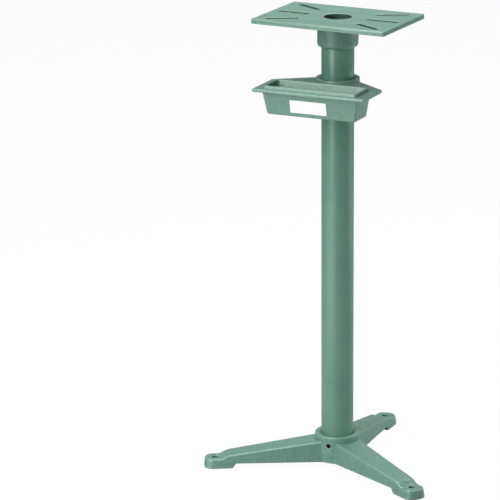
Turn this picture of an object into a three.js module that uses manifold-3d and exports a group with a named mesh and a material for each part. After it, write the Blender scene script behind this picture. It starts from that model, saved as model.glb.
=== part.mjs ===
// A pedestal stand for a bench grinder: a cast base with three legs, a steel tube column, a cast tool tray
// that clamps round the column, and a cast top plate with bolt slots. Socket set screws hold it together.
// Millimetres, +Z up, the tray to the front (-Y), standing on z = 0 with its bounds centred on the origin.
import * as THREE from 'three';
import { mergeVertices } from 'three/addons/utils/BufferGeometryUtils.js';
import Module from 'manifold-3d';

const wasm = await Module();
wasm.setup();

// Driving dimensions, in millimetres. Heights are above the floor unless they say otherwise.
const STAND_HEIGHT = 813;
const FIT_GAP = 0.3;
const ROUND_SEGMENTS = 64;
const HOLE_SEGMENTS = 24;
const CORNER_STEPS = 3;
const HEX_SIDES = 6;
const CUT_PAST = 1;

const TUBE_RADIUS = 28.5;
const TUBE_WALL = 3;
const BORE_RADIUS = TUBE_RADIUS + FIT_GAP;
const SHOULDER_RADIUS = 24.5;
const MOUTH_CHAMFER = 1.8;

const HUB_RADIUS = 40;
const HUB_TOP = 57.9;
const HUB_EDGE = 3;
const UNDERSIDE = 9;
const TUBE_SEAT = 16;

const LEG_DIRECTIONS = [90, 210, 330];
const LEG_START = 12;
const LEG_END = 199;
const LEG_TOP_HEIGHT = { hub: 45.4, foot: 24 };
const LEG_TOP_HALF = { hub: 25, foot: 18.8 };
const LEG_LOW_HALF = { hub: 27, foot: 19.5 };
const LEG_EDGE = 4.5;
const LEG_NOSE = { end: 210.5, bendAlong: 0.5, bendDrop: 0.42, buried: 0.5 };
const LEG_WALL = 6;
const CHANNEL_START = 45;
const CHANNEL_END = 178;

const PAD_HEIGHT = 17.4;
const PAD_START = 190;
const PAD_STEP_START = 183;
const PAD_END = { top: 237.5, floor: 239.5 };
const PAD_HALF = { top: 18, floor: 20 };
const PAD_CORNER = 16;
const PAD_TOP_EDGE = 2;
const ANCHOR_HOLE_RADIUS = 6.5;
const ANCHOR_CIRCLE_RADIUS = 219;
const ANCHOR_SCOOP = { foot: 13, widening: 1.05, height: 9 };

const PLATE_WIDTH = 252;
const PLATE_DEPTH = 167;
const PLATE_THICKNESS = 8.5;
const PLATE_CORNER = 3.5;
const PLATE_EDGE = 1;
const PLATE_TURN_DEG = -2.2;
const SLOT_WIDTH = 9.5;
const MIDDLE_SLOT = { inner: [59.7, 0], outer: [111, 0] };
const DIAGONAL_SLOT = { inner: [59.3, 41.9], outer: [102, 64.6] };

const COLLAR_RADIUS = 35.7;
const COLLAR_LENGTH = 43.7;
const COLLAR_LOWER_EDGE = 6.8;
const COLLAR_FILLET = 3;

const TRAY_TOP = 703.5;
const FLANGE_THICKNESS = 5.8;
const FLANGE_HALF_WIDTH = 104;
const FLANGE_FRONT = -130;
const FLANGE_BACK = -48.5;
const FLANGE_CORNER = 3.5;
const FLANGE_EDGE = 1.5;
const WEB_BACK = -2;
const BOWL_DEPTH = 46;
const BOWL_RIM = { half: 89.1, front: -121.8, back: -63.2 };
const BOWL_RIM_HEIGHT = TRAY_TOP - FLANGE_THICKNESS / 2;
const BOWL_FLOOR = { half: 83, front: -115, back: -65.6 };
const BOWL_CORNER = 4;
const BOWL_LOWER_EDGE = 4;
const BOWL_EDGE_BEND = 0.3;
const LIP = { half: 87, front: -122.3, back: -64.5 };
const LIP_CORNER = 7;
const LIP_HEIGHT = 5.5;
const LIP_EDGE = 1;
const WELL_MOUTH = { half: 82.6, front: -118, back: -68.4 };
const WELL_FLOOR = { half: 76, front: -111, back: -72 };
const WELL_FLOOR_THICKNESS = 5;
const WELL_LOWER_EDGE = 5;
const RING_RADIUS = 38.3;
const RING_RISE = 3;
const RING_LENGTH = 38.5;
const RING_EDGE = 3;

const LABEL_WIDTH = 67.4;
const LABEL_HEIGHT = 22.8;
const LABEL_THICKNESS = 0.3;
const LABEL_CENTRE_X = -3.7;
const LABEL_CENTRE_Z = 676.4;

const SCREW_RADIUS = 4;
const SCREW_TIP_RADIUS = 2.8;
const SCREW_CHAMFER = 0.8;
const SCREW_KEY_ACROSS_FLATS = 4;
const SCREW_KEY_DEPTH = 4;
const SCREW_HOLE_RADIUS = SCREW_RADIUS + FIT_GAP;
const SCREW_HOLE_START = TUBE_RADIUS - TUBE_WALL;
const BASE_SCREW = { height: 40.9, length: 9, directions: { front: 270, right: 30, left: 150 } };
const TRAY_SCREW = { height: 685, length: 8, direction: 90 };
const PLATE_SCREW = { height: 782, length: 6, directions: { right: 45, left: 135 } };

const CASTING_PAINT = new THREE.MeshStandardMaterial({ color: 0x5e897b, roughness: 0.4, metalness: 0.0 });
const TUBE_PAINT = new THREE.MeshStandardMaterial({ color: 0x5e897b, roughness: 0.38, metalness: 0.0 });
const BLACK_STEEL = new THREE.MeshStandardMaterial({ color: 0x2b2d2d, roughness: 0.45, metalness: 0.9 });
const LABEL_PAPER = new THREE.MeshStandardMaterial({ color: 0xf4f4f2, roughness: 0.5, metalness: 0.0 });

const degrees = THREE.MathUtils.degToRad;
const between = THREE.MathUtils.lerp;

// A closed geometry as a solid that can be joined and cut, with its faces turned outwards.
function toSolid(geometry) {
  const bare = geometry.clone();
  bare.deleteAttribute('normal');
  bare.deleteAttribute('uv');
  const merged = mergeVertices(bare, 1e-4);
  const vertProperties = new Float32Array(merged.attributes.position.array);
  const triVerts = new Uint32Array(merged.index.array);
  const solid = new wasm.Manifold(new wasm.Mesh({ numProp: 3, vertProperties, triVerts }));
  if (solid.volume() > 0) return solid;
  triVerts.reverse();
  return new wasm.Manifold(new wasm.Mesh({ numProp: 3, vertProperties, triVerts }));
}

function toGeometry(solid) {
  const mesh = solid.getMesh();
  const geometry = new THREE.BufferGeometry();
  geometry.setAttribute('position', new THREE.BufferAttribute(new Float32Array(mesh.vertProperties), 3));
  geometry.setIndex(new THREE.BufferAttribute(new Uint32Array(mesh.triVerts), 1));
  geometry.computeVertexNormals();
  return geometry;
}

// The joined bodies with the tools cut out of them.
function carve(bodies, tools = []) {
  let solid = toSolid(bodies[0]);
  for (const body of bodies.slice(1)) solid = solid.add(toSolid(body));
  for (const tool of tools) solid = solid.subtract(toSolid(tool));
  return toGeometry(solid);
}

function subPart(name, geometry, material) {
  const mesh = new THREE.Mesh(geometry, material);
  mesh.name = name;
  return mesh;
}

// A polygon's corners rounded off: each corner gives way to a short curve that starts `radius` before it.
function roundOff(corners, radius, steps = CORNER_STEPS) {
  const outline = [];
  corners.forEach((corner, i) => {
    const before = corners[(i + corners.length - 1) % corners.length];
    const after = corners[(i + 1) % corners.length];
    const from = before.clone().sub(corner).setLength(radius).add(corner);
    const to = after.clone().sub(corner).setLength(radius).add(corner);
    outline.push(...new THREE.QuadraticBezierCurve(from, corner, to).getPoints(steps));
  });
  return outline;
}

// A skin over rings of equally many points, closed by a fan at each end.
function loft(rings) {
  const count = rings[0].length;
  const index = [];
  for (let r = 0; r + 1 < rings.length; r += 1) {
    for (let i = 0; i < count; i += 1) {
      const a = r * count + i;
      const b = r * count + ((i + 1) % count);
      index.push(a, b, b + count, a, b + count, a + count);
    }
  }
  const last = (rings.length - 1) * count;
  for (let i = 1; i + 1 < count; i += 1) {
    index.push(0, i + 1, i);
    index.push(last, last + i, last + i + 1);
  }
  const geometry = new THREE.BufferGeometry();
  geometry.setFromPoints(rings.flat());
  geometry.setIndex(index);
  return geometry;
}

function lathe(profile, segments = ROUND_SEGMENTS) {
  const points = profile.map(([radius, z]) => new THREE.Vector2(radius, z));
  return new THREE.LatheGeometry(points, segments).rotateX(Math.PI / 2);
}

// A round cutter along Z, from one height to another.
function drill(radius, from, to, segments = ROUND_SEGMENTS) {
  const cutter = new THREE.CylinderGeometry(radius, radius, to - from, segments).rotateX(Math.PI / 2);
  return cutter.translate(0, 0, (from + to) / 2);
}

// A round cutter that leaves the column's axis in one direction, for a set screw's thread.
function screwHole(directionDeg, height) {
  const reach = HUB_RADIUS + SCREW_RADIUS - SCREW_HOLE_START;
  const cutter = new THREE.CylinderGeometry(SCREW_HOLE_RADIUS, SCREW_HOLE_RADIUS, reach, HOLE_SEGMENTS);
  cutter.rotateZ(-Math.PI / 2).translate(SCREW_HOLE_START + reach / 2, 0, height);
  return cutter.rotateZ(degrees(directionDeg));
}

// A quarter round between two points of a lathe profile, bulging towards the corner point.
function quarterRound(from, corner, to) {
  const [a, b, c] = [from, corner, to].map(([x, y]) => new THREE.Vector2(x, y));
  return new THREE.QuadraticBezierCurve(a, b, c).getPoints(CORNER_STEPS).map((p) => [p.x, p.y]);
}

// The rounded upper edge of a turned boss, from its side to its top.
function topEdgeRound(radius, top, edge) {
  return quarterRound([radius, top - edge], [radius, top], [radius - edge, top]);
}

// Set screw: headless, flat point against the tube, hexagon socket at the outer end. It lies along +X.
function setScrew(name, length, directionDeg, height) {
  const body = lathe([
    [0, 0],
    [SCREW_TIP_RADIUS, 0],
    [SCREW_RADIUS, SCREW_RADIUS - SCREW_TIP_RADIUS],
    [SCREW_RADIUS, length - SCREW_CHAMFER],
    [SCREW_RADIUS - SCREW_CHAMFER, length],
    [0, length],
  ], HOLE_SEGMENTS);
  const keyRadius = SCREW_KEY_ACROSS_FLATS / 2 / Math.cos(Math.PI / HEX_SIDES);
  const key = drill(keyRadius, length - SCREW_KEY_DEPTH, length + CUT_PAST, HEX_SIDES);
  const screw = subPart(name, carve([body], [key]).rotateY(Math.PI / 2), BLACK_STEEL);
  screw.geometry.translate(BORE_RADIUS, 0, 0);
  screw.rotation.z = degrees(directionDeg);
  screw.position.z = height;
  return screw;
}

// How far along a leg a station lies, 0 where it leaves the hub and 1 at its foot end.
function alongLeg(station) {
  return (station - HUB_RADIUS) / (LEG_END - HUB_RADIUS);
}

// One cross-section of a leg, a drafted trapezium with its two upper edges rounded.
function legSection(station, topHeight, inset = 0) {
  const share = alongLeg(station);
  const topHalf = between(LEG_TOP_HALF.hub, LEG_TOP_HALF.foot, share) - inset;
  const lowHalf = between(LEG_LOW_HALF.hub, LEG_LOW_HALF.foot, share) - inset;
  const low = inset ? -CUT_PAST : UNDERSIDE;
  const corners = [
    new THREE.Vector2(-lowHalf, low),
    new THREE.Vector2(lowHalf, low),
    new THREE.Vector2(topHalf, topHeight - inset),
    new THREE.Vector2(-topHalf, topHeight - inset),
  ];
  const edges = roundOff(corners.slice(1, 4).concat(corners[0]), LEG_EDGE);
  const firstTopPoint = CORNER_STEPS + 1;
  const upper = edges.slice(firstTopPoint, 3 * firstTopPoint);
  return [corners[0], corners[1], ...upper].map((p) => new THREE.Vector3(station, p.x, p.y));
}

function legTopAt(station) {
  return between(LEG_TOP_HEIGHT.hub, LEG_TOP_HEIGHT.foot, alongLeg(station));
}

// Leg along +X: a tapering beam that steps down to its foot pad in a rounded nose.
function legBeam() {
  const noseBend = between(LEG_END, LEG_NOSE.end, LEG_NOSE.bendAlong);
  const noseHeight = between(LEG_TOP_HEIGHT.foot, PAD_HEIGHT, LEG_NOSE.bendDrop);
  return loft([
    legSection(LEG_START, legTopAt(LEG_START)),
    legSection(LEG_END, legTopAt(LEG_END)),
    legSection(noseBend, noseHeight),
    legSection(LEG_NOSE.end, PAD_HEIGHT - LEG_NOSE.buried),
  ]);
}

// The hollow under a leg, open downwards, which leaves an even wall.
function legChannel() {
  return loft([CHANNEL_START, CHANNEL_END].map((s) => legSection(s, legTopAt(s), LEG_WALL)));
}

// Foot pad under a leg's end: drafted sides, rounded end, and a slope up to the leg's underside.
function footPad() {
  const ring = (height, start, end, half) => roundOff([
    new THREE.Vector2(start, -half),
    new THREE.Vector2(end, -half),
    new THREE.Vector2(end, half),
    new THREE.Vector2(start, half),
  ], PAD_CORNER).map((p) => new THREE.Vector3(p.x, p.y, height));
  const edgeHeight = PAD_HEIGHT - PAD_TOP_EDGE;
  const draft = (z) => between(PAD_HALF.floor, PAD_HALF.top, z / PAD_HEIGHT);
  const end = (z) => between(PAD_END.floor, PAD_END.top, z / PAD_HEIGHT);
  const buried = PAD_STEP_START - PAD_CORNER;
  const topInset = PAD_TOP_EDGE / 2;
  const pad = loft([
    ring(0, buried, end(0), draft(0)),
    ring(edgeHeight, buried, end(edgeHeight), draft(edgeHeight)),
    ring(PAD_HEIGHT, buried, PAD_END.top - topInset, PAD_HALF.top - topInset),
  ]);
  const slope = new THREE.Shape([
    new THREE.Vector2(buried - CUT_PAST, -CUT_PAST),
    new THREE.Vector2(PAD_START, -CUT_PAST),
    new THREE.Vector2(PAD_STEP_START, UNDERSIDE),
    new THREE.Vector2(PAD_STEP_START, PAD_HEIGHT + CUT_PAST),
    new THREE.Vector2(buried - CUT_PAST, PAD_HEIGHT + CUT_PAST),
  ]);
  const cutter = new THREE.ExtrudeGeometry(slope, { depth: 4 * PAD_HALF.floor, bevelEnabled: false });
  cutter.rotateX(Math.PI / 2).translate(0, 2 * PAD_HALF.floor, 0);
  return carve([pad], [cutter]);
}

// The dished seat round an anchor hole, a cone that bites into the leg's nose above the pad.
function anchorScoop() {
  const { foot, widening, height } = ANCHOR_SCOOP;
  const cone = new THREE.CylinderGeometry(foot + widening * height, foot, height, HOLE_SEGMENTS);
  return cone.rotateX(Math.PI / 2).translate(ANCHOR_CIRCLE_RADIUS, 0, PAD_HEIGHT + height / 2);
}

// Base casting: hub, three legs and their pads, cored for the tube, the leg channels and the anchor holes.
function baseCasting() {
  const hub = lathe([
    [0, UNDERSIDE],
    [HUB_RADIUS, UNDERSIDE],
    ...topEdgeRound(HUB_RADIUS, HUB_TOP, HUB_EDGE),
    [0, HUB_TOP],
  ]);
  const bodies = [hub];
  const tools = [
    lathe([
      [0, 0],
      [SHOULDER_RADIUS, 0],
      [SHOULDER_RADIUS, TUBE_SEAT],
      [BORE_RADIUS, TUBE_SEAT],
      [BORE_RADIUS, HUB_TOP - MOUTH_CHAMFER],
      [BORE_RADIUS + MOUTH_CHAMFER, HUB_TOP],
      [BORE_RADIUS + MOUTH_CHAMFER, HUB_TOP + CUT_PAST],
      [0, HUB_TOP + CUT_PAST],
    ]),
  ];
  for (const direction of LEG_DIRECTIONS) {
    const turn = degrees(direction);
    const anchorHole = drill(ANCHOR_HOLE_RADIUS, -CUT_PAST, PAD_HEIGHT + CUT_PAST, HOLE_SEGMENTS);
    bodies.push(legBeam().rotateZ(turn), footPad().rotateZ(turn));
    tools.push(legChannel().rotateZ(turn), anchorScoop().rotateZ(turn));
    tools.push(anchorHole.translate(ANCHOR_CIRCLE_RADIUS, 0, 0).rotateZ(turn));
  }
  for (const direction of Object.values(BASE_SCREW.directions)) {
    tools.push(screwHole(direction, BASE_SCREW.height));
  }
  return subPart('base_casting', carve(bodies, tools), CASTING_PAINT);
}

// Column: a plain tube from the hub's seat to the shoulder under the plate.
function columnTube() {
  const bottom = TUBE_SEAT + FIT_GAP;
  const top = STAND_HEIGHT - PLATE_THICKNESS - FIT_GAP;
  const inner = TUBE_RADIUS - TUBE_WALL;
  const wall = [[inner, bottom], [TUBE_RADIUS, bottom], [TUBE_RADIUS, top], [inner, top], [inner, bottom]];
  return subPart('column_tube', lathe(wall), TUBE_PAINT);
}

// A box of points at one height, given by its half width and its front and back.
function trayRing({ half, front, back }, z, corner) {
  return roundOff([
    new THREE.Vector2(-half, front),
    new THREE.Vector2(half, front),
    new THREE.Vector2(half, back),
    new THREE.Vector2(-half, back),
  ], corner).map((p) => new THREE.Vector3(p.x, p.y, z));
}

function shrink({ half, front, back }, by) {
  return { half: half - by, front: front + by, back: back - by };
}

// The tray's flange and the web behind it, one plate that narrows from the bowl to the ring.
function flangeAndWeb() {
  const corners = [
    new THREE.Vector2(-FLANGE_HALF_WIDTH, FLANGE_FRONT),
    new THREE.Vector2(FLANGE_HALF_WIDTH, FLANGE_FRONT),
    new THREE.Vector2(FLANGE_HALF_WIDTH, FLANGE_BACK),
    new THREE.Vector2(RING_RADIUS, WEB_BACK),
    new THREE.Vector2(-RING_RADIUS, WEB_BACK),
    new THREE.Vector2(-FLANGE_HALF_WIDTH, FLANGE_BACK),
  ];
  const plate = new THREE.ExtrudeGeometry(new THREE.Shape(roundOff(corners, FLANGE_CORNER)), {
    depth: FLANGE_THICKNESS - 2 * FLANGE_EDGE,
    bevelThickness: FLANGE_EDGE,
    bevelSize: FLANGE_EDGE,
    bevelOffset: -FLANGE_EDGE,
    bevelSegments: 1,
  });
  return plate.translate(0, 0, TRAY_TOP - FLANGE_THICKNESS + FLANGE_EDGE);
}

// Tool tray: bowl, lip, flange, web and ring in one casting.
function toolTray() {
  const floor = TRAY_TOP - BOWL_DEPTH;
  const lipTop = TRAY_TOP + LIP_HEIGHT;
  const wellFloor = floor + WELL_FLOOR_THICKNESS;
  const ringTop = TRAY_TOP + RING_RISE;
  const edgeBend = BOWL_LOWER_EDGE * BOWL_EDGE_BEND;
  const bowl = loft([
    trayRing(shrink(BOWL_FLOOR, BOWL_LOWER_EDGE), floor, BOWL_CORNER),
    trayRing(shrink(BOWL_FLOOR, edgeBend), floor + edgeBend, BOWL_CORNER),
    trayRing(BOWL_FLOOR, floor + BOWL_LOWER_EDGE, BOWL_CORNER),
    trayRing(BOWL_RIM, BOWL_RIM_HEIGHT, BOWL_CORNER),
    trayRing(LIP, BOWL_RIM_HEIGHT, LIP_CORNER),
    trayRing(LIP, lipTop - LIP_EDGE, LIP_CORNER),
    trayRing(shrink(LIP, LIP_EDGE), lipTop, LIP_CORNER),
  ]);
  const well = loft([
    trayRing(shrink(WELL_FLOOR, WELL_LOWER_EDGE), wellFloor, LIP_CORNER),
    trayRing(WELL_FLOOR, wellFloor + WELL_LOWER_EDGE, LIP_CORNER),
    trayRing(WELL_MOUTH, lipTop, LIP_CORNER),
    trayRing(WELL_MOUTH, lipTop + CUT_PAST, LIP_CORNER),
  ]);
  const ring = lathe([
    [0, ringTop - RING_LENGTH],
    [RING_RADIUS, ringTop - RING_LENGTH],
    ...topEdgeRound(RING_RADIUS, ringTop, RING_EDGE),
    [0, ringTop],
  ]);
  const bore = drill(BORE_RADIUS, floor, lipTop);
  const bodies = [bowl, flangeAndWeb(), ring];
  const tools = [well, bore, screwHole(TRAY_SCREW.direction, TRAY_SCREW.height)];
  return subPart('tool_tray', carve(bodies, tools), CASTING_PAINT);
}

// Label: a thin blank sticker that lies on the bowl's sloping front wall.
function trayLabel() {
  const wallFoot = TRAY_TOP - BOWL_DEPTH + BOWL_LOWER_EDGE;
  const wallHeight = BOWL_RIM_HEIGHT - wallFoot;
  const wallLean = Math.atan2(BOWL_FLOOR.front - BOWL_RIM.front, wallHeight);
  const share = (LABEL_CENTRE_Z - wallFoot) / wallHeight;
  const wallFace = between(BOWL_FLOOR.front, BOWL_RIM.front, share);
  const sheet = new THREE.BoxGeometry(LABEL_WIDTH, LABEL_THICKNESS, LABEL_HEIGHT);
  const label = subPart('tray_label', sheet, LABEL_PAPER);
  label.rotation.x = wallLean;
  const standOff = (FIT_GAP + LABEL_THICKNESS / 2) / Math.cos(wallLean);
  label.position.set(LABEL_CENTRE_X, wallFace - standOff, LABEL_CENTRE_Z);
  return label;
}

// A bolt slot's outline in the plate, two half rounds and the straight sides between them.
function slotPath([innerX, innerY], [outerX, outerY]) {
  const inner = new THREE.Vector2(innerX, innerY);
  const outer = new THREE.Vector2(outerX, outerY);
  const heading = outer.clone().sub(inner).angle();
  const path = new THREE.Path();
  path.absarc(outer.x, outer.y, SLOT_WIDTH / 2, heading - Math.PI / 2, heading + Math.PI / 2);
  path.absarc(inner.x, inner.y, SLOT_WIDTH / 2, heading + Math.PI / 2, heading + (3 * Math.PI) / 2);
  path.closePath();
  return path;
}

// The plate's six slots: a middle one and two diagonal ones on each side.
function slotPaths() {
  const paths = [];
  for (const side of [-1, 1]) {
    const mirror = ([x, y], flip) => [side * x, flip * y];
    paths.push(slotPath(mirror(MIDDLE_SLOT.inner, 1), mirror(MIDDLE_SLOT.outer, 1)));
    for (const flip of [-1, 1]) {
      paths.push(slotPath(mirror(DIAGONAL_SLOT.inner, flip), mirror(DIAGONAL_SLOT.outer, flip)));
    }
  }
  return paths;
}

// Top plate: the slotted plate and, below it, the collar that sockets over the tube's end.
function topPlate() {
  const corners = [[-1, -1], [1, -1], [1, 1], [-1, 1]].map(
    ([x, y]) => new THREE.Vector2((x * PLATE_WIDTH) / 2, (y * PLATE_DEPTH) / 2),
  );
  const outline = new THREE.Shape(roundOff(corners, PLATE_CORNER));
  outline.holes = slotPaths();
  const underside = STAND_HEIGHT - PLATE_THICKNESS;
  const plate = new THREE.ExtrudeGeometry(outline, {
    depth: PLATE_THICKNESS - 2 * PLATE_EDGE,
    bevelThickness: PLATE_EDGE,
    bevelSize: PLATE_EDGE,
    bevelOffset: -PLATE_EDGE,
    bevelSegments: 1,
    curveSegments: CORNER_STEPS + 2,
  });
  plate.translate(0, 0, underside + PLATE_EDGE);
  const low = underside - COLLAR_LENGTH;
  const lowEdgeStart = [COLLAR_RADIUS - COLLAR_LOWER_EDGE, low];
  const lowEdgeEnd = [COLLAR_RADIUS, low + COLLAR_LOWER_EDGE];
  const filletStart = [COLLAR_RADIUS, underside - COLLAR_FILLET];
  const filletEnd = [COLLAR_RADIUS + COLLAR_FILLET, underside];
  const collar = lathe([
    [0, low],
    ...quarterRound(lowEdgeStart, [COLLAR_RADIUS, low], lowEdgeEnd),
    ...quarterRound(filletStart, [COLLAR_RADIUS, underside], filletEnd),
    [COLLAR_RADIUS + COLLAR_FILLET, underside + PLATE_EDGE],
    [0, underside + PLATE_EDGE],
  ]);
  const tools = [
    drill(SHOULDER_RADIUS, low - CUT_PAST, STAND_HEIGHT + CUT_PAST),
    drill(BORE_RADIUS, low - CUT_PAST, underside),
  ];
  for (const direction of Object.values(PLATE_SCREW.directions)) {
    tools.push(screwHole(direction, PLATE_SCREW.height));
  }
  return subPart('top_plate', carve([plate, collar], tools), CASTING_PAINT);
}

const base = new THREE.Group();
base.add(baseCasting());
for (const [side, direction] of Object.entries(BASE_SCREW.directions)) {
  base.add(setScrew(`base_set_screw_${side}`, BASE_SCREW.length, direction, BASE_SCREW.height));
}

const tray = new THREE.Group();
tray.add(toolTray(), trayLabel());
tray.add(setScrew('tray_set_screw', TRAY_SCREW.length, TRAY_SCREW.direction, TRAY_SCREW.height));

// The plate was clamped a little out of square with the legs.
const plate = new THREE.Group();
plate.rotation.z = degrees(PLATE_TURN_DEG);
plate.add(topPlate());
for (const [side, direction] of Object.entries(PLATE_SCREW.directions)) {
  plate.add(setScrew(`plate_set_screw_${side}`, PLATE_SCREW.length, direction, PLATE_SCREW.height));
}

// The back leg reaches further than the front two, so the column stands off the footprint's centre.
const stand = new THREE.Group();
stand.add(base, columnTube(), tray, plate);
const footprint = new THREE.Box3().setFromObject(stand).getCenter(new THREE.Vector3());
stand.position.set(-footprint.x, -footprint.y, 0);

export default stand;
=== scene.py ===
"""A pedestal stand for a bench grinder: cast base, tube column, sliding tool tray, slotted top plate.

Sizes are in millimetres about the column's axis, as on a workshop drawing, and become metres in
the meshes. The stage and its lamps are in metres.
"""
import math

import bmesh
import bpy
import numpy as np
from mathutils import Matrix, Vector


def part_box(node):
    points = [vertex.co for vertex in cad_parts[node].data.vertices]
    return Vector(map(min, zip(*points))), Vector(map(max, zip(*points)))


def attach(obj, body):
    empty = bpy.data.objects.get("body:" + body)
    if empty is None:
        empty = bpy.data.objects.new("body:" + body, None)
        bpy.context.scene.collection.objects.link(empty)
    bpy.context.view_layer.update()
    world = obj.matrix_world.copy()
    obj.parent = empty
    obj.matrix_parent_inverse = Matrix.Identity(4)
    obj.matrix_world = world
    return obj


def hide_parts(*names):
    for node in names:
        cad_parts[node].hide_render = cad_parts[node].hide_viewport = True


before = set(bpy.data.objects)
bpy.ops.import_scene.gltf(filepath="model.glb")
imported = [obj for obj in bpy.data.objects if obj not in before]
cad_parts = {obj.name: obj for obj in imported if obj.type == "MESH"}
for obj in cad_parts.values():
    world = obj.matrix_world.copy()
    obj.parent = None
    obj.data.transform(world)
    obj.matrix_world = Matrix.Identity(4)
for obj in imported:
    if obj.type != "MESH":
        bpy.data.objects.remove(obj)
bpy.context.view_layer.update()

# Base casting. Grey iron poured in a sand mould: a bored hub and three hollow legs with drilled pads.
# The mould leaves every edge rounded and every inside corner filleted, so the metal is given as the
# distance from any point to its skin, negative inside, and the skin is meshed from that.
FIT_GAP = 0.3
TUBE_RADIUS = 28.5
BORE_RADIUS = TUBE_RADIUS + FIT_GAP
TUBE_SEAT = 16.0
SHOULDER_RADIUS = 24.5
HUB_RADIUS = 40.0
HUB_TOP = 57.9
HUB_EDGE = 2.6
HUB_MOUTH_EDGE = 2.4
UNDERSIDE = 9.0
FIRST_LEG = math.pi / 2
LEG_SPACING = 2 * math.pi / 3
LEG_END = 199.0
LEG_TOP_AT = {"hub": 45.4, "foot": 24.0}
LEG_TOP_HALF = {"hub": 25.0, "foot": 18.8}
LEG_LOW_HALF = {"hub": 27.0, "foot": 19.5}
LEG_RISE_LIMITS = (-1, 2)
LEG_EDGE = 3.2
LEG_LOWER_EDGE = 1.2
LEG_HUB_FILLET = 1.0
NOSE_FOOT = 210.0
NOSE_LEAN = math.radians(60)
NOSE_EDGE = 2.5
LEG_WALL = 6.0
CHANNEL = {"start": 45.0, "end": 178.0, "edge": 4.0, "rim": 1.0}
PAD_HEIGHT = 17.4
PAD_END = {"top": 237.5, "floor": 239.5}
PAD_HALF = {"top": 18.0, "floor": 20.0}
PAD_CORNER = 15.0
PAD_EDGE = 2.4
PAD_LOWER_EDGE = 1.5
PAD_HEEL = 190.0
PAD_HEEL_LEAN = math.radians(38)
PAD_FILLET = 1.6
ANCHOR_CIRCLE = 219.0
ANCHOR_HOLE = 6.5
SCOOP_FOOT = 13.0
SCOOP_LEAN = math.radians(46)
SCOOP_EDGE = 1.2
HOLE_EDGE = 0.8
SCREW_HOLE = 4.3
BASE_SCREW_HEIGHT = 40.9
BASE_CELL = 1.3
SKIN_MARGIN = 2
SKIN_PULLS = 4
SKIN_PROBE = 1 / 8
LEAST_SLOPE = 0.25
MM_PER_M = 1000


def meet(a, b, edge):
    """Both solids at once, the outer edge between them rounded."""
    rounded = np.hypot(np.maximum(edge + a, 0), np.maximum(edge + b, 0))
    return np.minimum(np.maximum(a, b), -edge) + rounded


def join(a, b, fillet):
    """Either solid, with a fillet in the inside corner between them."""
    filled = np.hypot(np.maximum(fillet - a, 0), np.maximum(fillet - b, 0))
    return np.maximum(np.minimum(a, b), fillet) - filled


def between(ends, share):
    """A size that changes evenly from the first of two named ends to the last."""
    first, last = ends.values()
    return first + (last - first) * share


def base_metal(x, y, z):
    """The base's metal: three legs with pads, joined to the hub, then cored, bored and drilled."""
    radius = np.hypot(x, y)
    turn = np.mod(np.arctan2(y, x) - FIRST_LEG + LEG_SPACING / 2, LEG_SPACING) - LEG_SPACING / 2
    along = radius * np.cos(turn)
    across = np.abs(radius * np.sin(turn))

    hub = meet(radius - HUB_RADIUS, z - HUB_TOP, HUB_EDGE)
    hub = meet(hub, UNDERSIDE - z, LEG_LOWER_EDGE)

    share = (along - HUB_RADIUS) / (LEG_END - HUB_RADIUS)
    top_height = between(LEG_TOP_AT, share)
    rise = np.clip((z - UNDERSIDE) / np.maximum(top_height - UNDERSIDE, 1), *LEG_RISE_LIMITS)
    low_half = between(LEG_LOW_HALF, share)
    side = across - low_half - (between(LEG_TOP_HALF, share) - low_half) * rise
    top = z - top_height
    nose = (along - NOSE_FOOT) * math.cos(NOSE_LEAN) + (z - PAD_HEIGHT) * math.sin(NOSE_LEAN)
    leg = meet(meet(top, side, LEG_EDGE), nose, NOSE_EDGE)
    from_anchor = np.hypot(along - ANCHOR_CIRCLE, across)
    over_pad = z - PAD_HEIGHT
    scoop = (from_anchor - SCOOP_FOOT) * math.cos(SCOOP_LEAN) - over_pad * math.sin(SCOOP_LEAN)
    leg = meet(leg, -scoop, SCOOP_EDGE)
    leg = meet(leg, UNDERSIDE - z, LEG_LOWER_EDGE)

    lift = z / PAD_HEIGHT
    pad_end = PAD_END["floor"] + (PAD_END["top"] - PAD_END["floor"]) * lift
    pad_half = PAD_HALF["floor"] + (PAD_HALF["top"] - PAD_HALF["floor"]) * lift
    heel = (PAD_HEEL - along) * math.cos(PAD_HEEL_LEAN) - z * math.sin(PAD_HEEL_LEAN)
    pad = meet(across - pad_half, along - pad_end, PAD_CORNER)
    pad = meet(meet(pad, z - PAD_HEIGHT, PAD_EDGE), np.maximum(-z, heel), PAD_LOWER_EDGE)

    metal = join(join(leg, pad, PAD_FILLET), hub, LEG_HUB_FILLET)

    ends = np.maximum(CHANNEL["start"] - along, along - CHANNEL["end"])
    channel = meet(meet(side, top, CHANNEL["edge"]) + LEG_WALL, ends, CHANNEL["edge"])
    metal = meet(metal, -channel, CHANNEL["rim"])
    metal = meet(metal, ANCHOR_HOLE - from_anchor, HOLE_EDGE)
    metal = meet(metal, BORE_RADIUS - radius, HUB_MOUTH_EDGE)
    seat = np.maximum(np.maximum(SHOULDER_RADIUS - radius, z - TUBE_SEAT), UNDERSIDE - z)
    metal = np.minimum(metal, np.maximum(seat, radius - BORE_RADIUS - HUB_MOUTH_EDGE))
    across_screw = radius * np.sin(LEG_SPACING / 2 - np.abs(turn))
    screw_hole = np.hypot(across_screw, z - BASE_SCREW_HEIGHT) - SCREW_HOLE
    return meet(metal, -screw_hole, HOLE_EDGE)


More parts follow.
